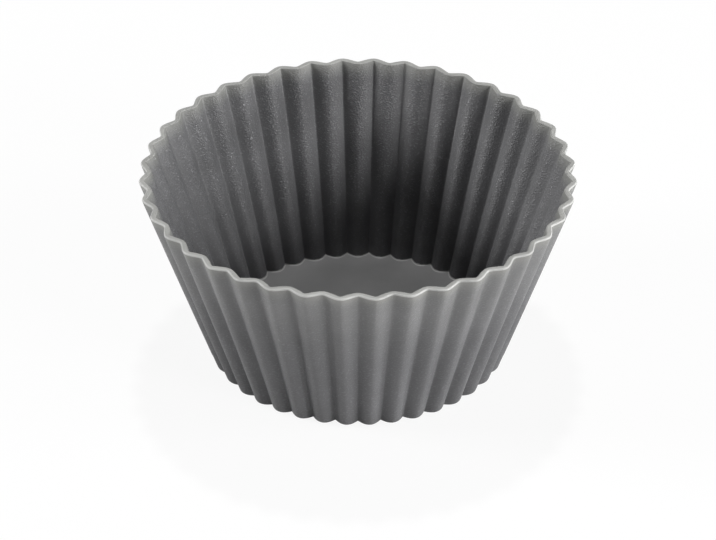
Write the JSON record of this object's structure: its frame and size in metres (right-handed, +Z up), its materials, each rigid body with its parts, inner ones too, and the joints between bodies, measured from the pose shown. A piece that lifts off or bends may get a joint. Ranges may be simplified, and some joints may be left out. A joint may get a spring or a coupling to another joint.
{
  "type": "silicone baking cup",
  "caption": "Round fluted baking cup, moulded in one piece of grey silicone, open at the top, with a leaning wall that narrows to a flat floor",
  "frame": {"origin": "centre of the underside, on the surface that the cup stands on", "axes": "+Z up along the cup's axis, -Y towards the camera of the picture, +X to its right"},
  "size_m": [0.0696, 0.0696, 0.032],
  "materials": {
    "silicone": "satin"
  },
  "bodies": {
    "root": {"baking_cup": "silicone"}
  },
  "joints": []
}
